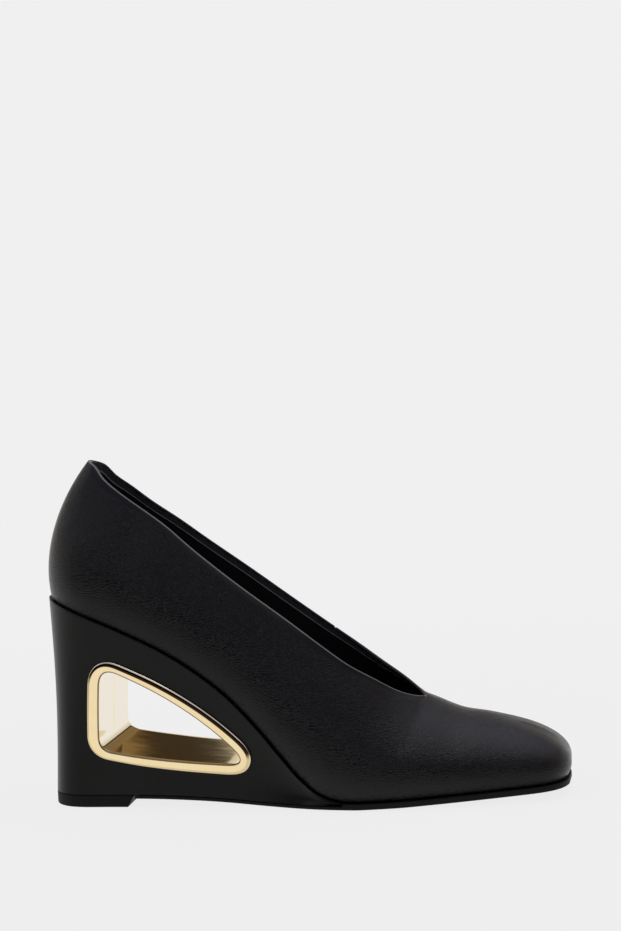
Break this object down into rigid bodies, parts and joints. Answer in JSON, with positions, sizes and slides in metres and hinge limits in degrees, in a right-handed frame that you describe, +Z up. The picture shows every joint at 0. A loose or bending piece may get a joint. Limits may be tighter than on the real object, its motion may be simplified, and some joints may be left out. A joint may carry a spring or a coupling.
{
  "type": "wedge pump",
  "caption": "Right-foot leather pump with a V throat, a squared toe and a tall wedge heel cut through by a framed, rounded triangular window.",
  "frame": {"origin": "on the floor, under the middle of the shoe's bounding box", "axes": "+X towards the toe, +Y towards the medial side, +Z up from the floor the shoe stands on"},
  "size_m": [0.2256, 0.0796, 0.1494],
  "materials": {
    "upper_leather": "fine pebble grain, satin",
    "wedge_leather": "smooth, satin",
    "insole_lining": "matte lining",
    "window_gold": "polished pale gold",
    "sole_edge": "inked, satin",
    "top_piece_rubber": "matte"
  },
  "bodies": {
    "root": {"upper": "upper_leather", "insole": "insole_lining", "wedge": "wedge_leather", "window_frame": "window_gold", "outsole": "sole_edge", "top_piece": "top_piece_rubber"}
  },
  "joints": []
}
